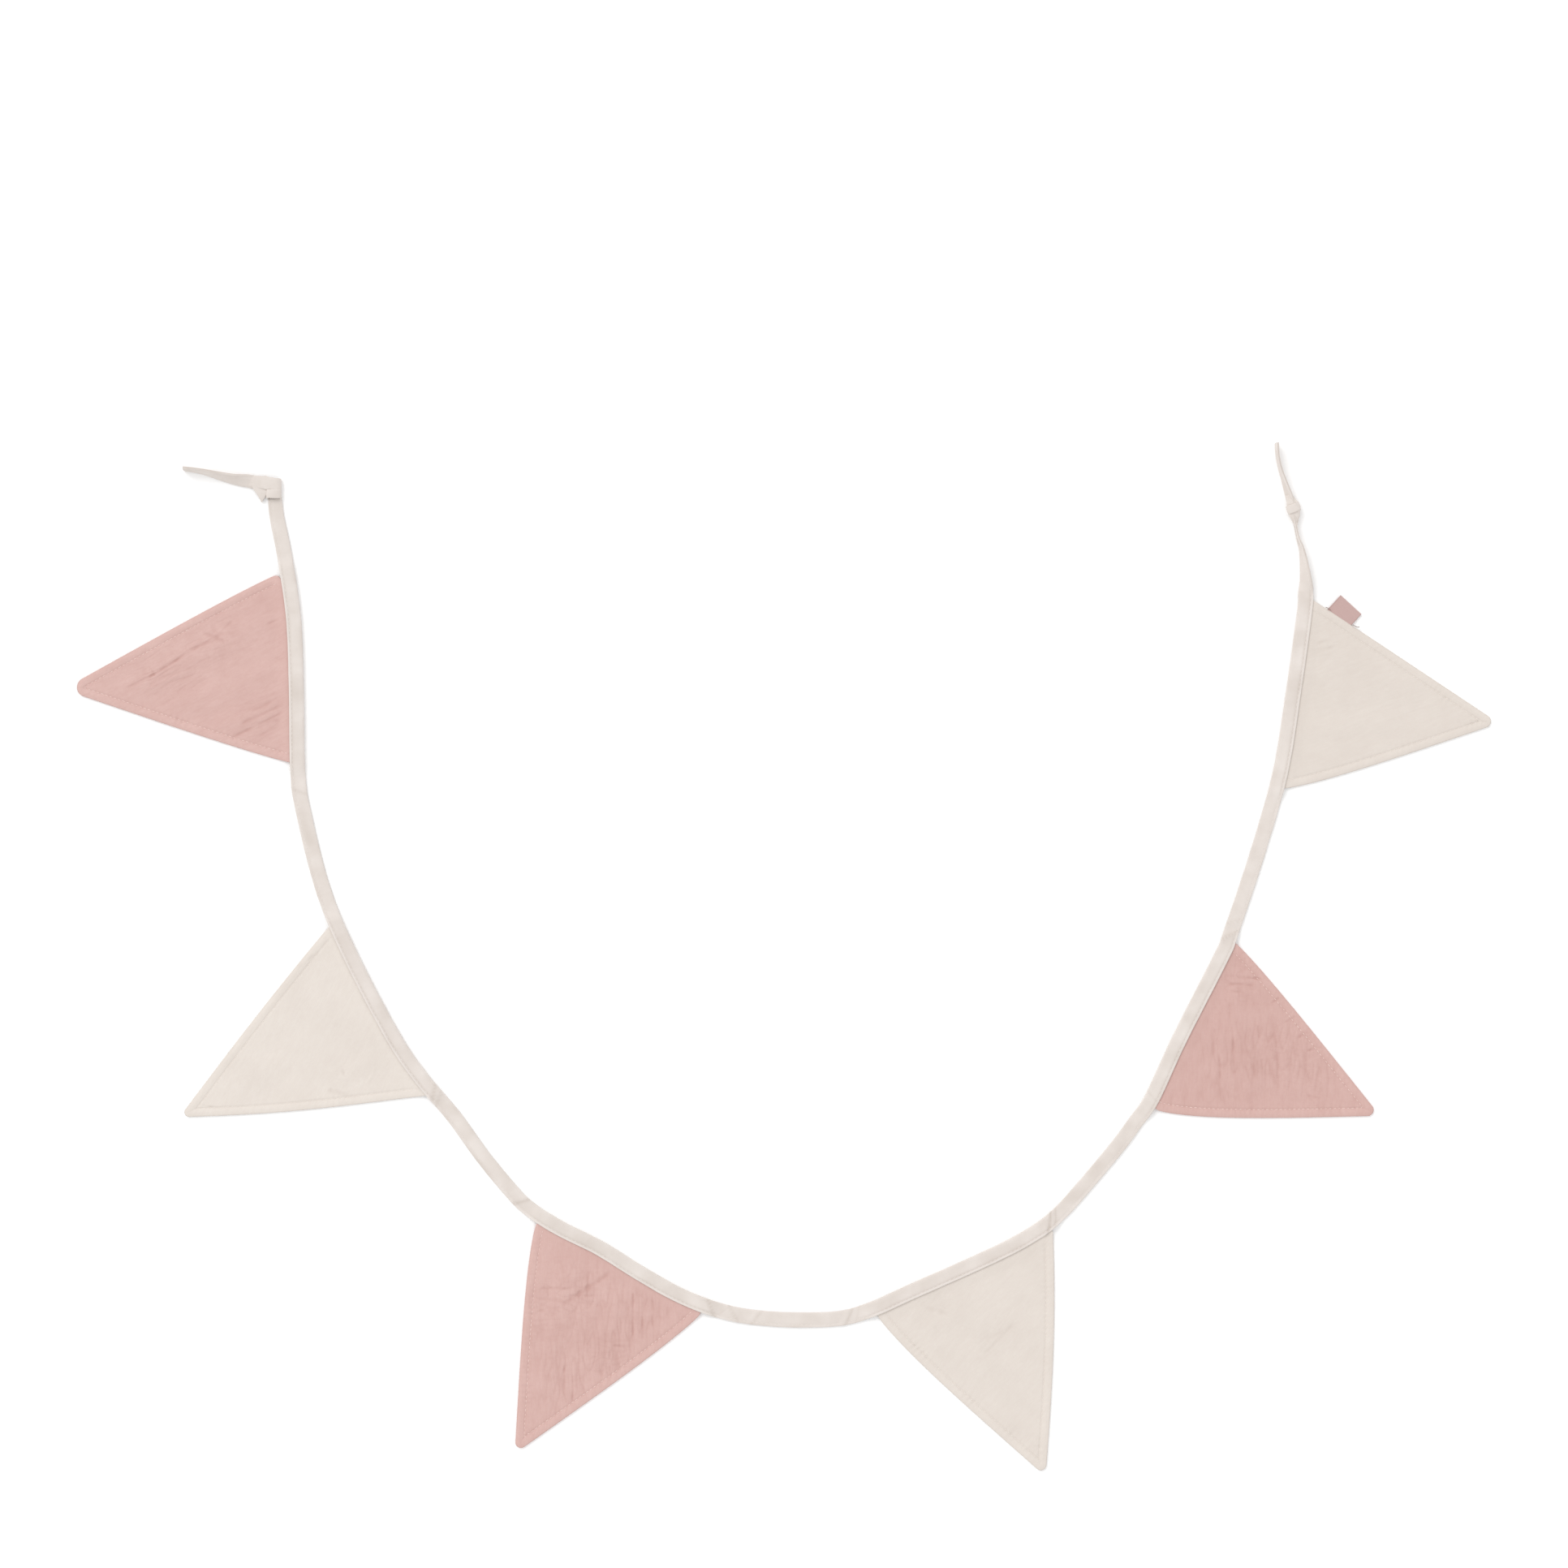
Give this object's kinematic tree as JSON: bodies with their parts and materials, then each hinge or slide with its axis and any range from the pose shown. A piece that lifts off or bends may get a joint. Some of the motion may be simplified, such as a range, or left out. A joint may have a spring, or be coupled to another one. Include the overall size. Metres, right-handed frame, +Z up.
{
  "type": "fabric bunting",
  "caption": "Cloth bunting laid in a U: triangular double muslin pennants sewn into a folded cotton tape, knotted near both ends, with a small bare side label.",
  "frame": {"origin": "middle of the lay, on the surface that it lies on", "axes": "+X across the U from the first pennant to the last, +Y from the bottom of the U up to its ends, +Z up from the surface"},
  "size_m": [0.9927, 0.7215, 0.0094],
  "materials": {
    "cotton_tape": "matt folded cotton tape",
    "pink_muslin": "matt crinkled double muslin, dusty pink",
    "cream_muslin": "matt crinkled double muslin, warm cream",
    "woven_label": "close satin weave, slightly smoother than the muslin"
  },
  "bodies": {
    "root": {"tape": "cotton_tape", "flag_1": "pink_muslin", "flag_2": "cream_muslin", "flag_3": "pink_muslin", "flag_4": "cream_muslin", "flag_5": "pink_muslin", "flag_6": "cream_muslin", "side_label": "woven_label"}
  },
  "joints": []
}
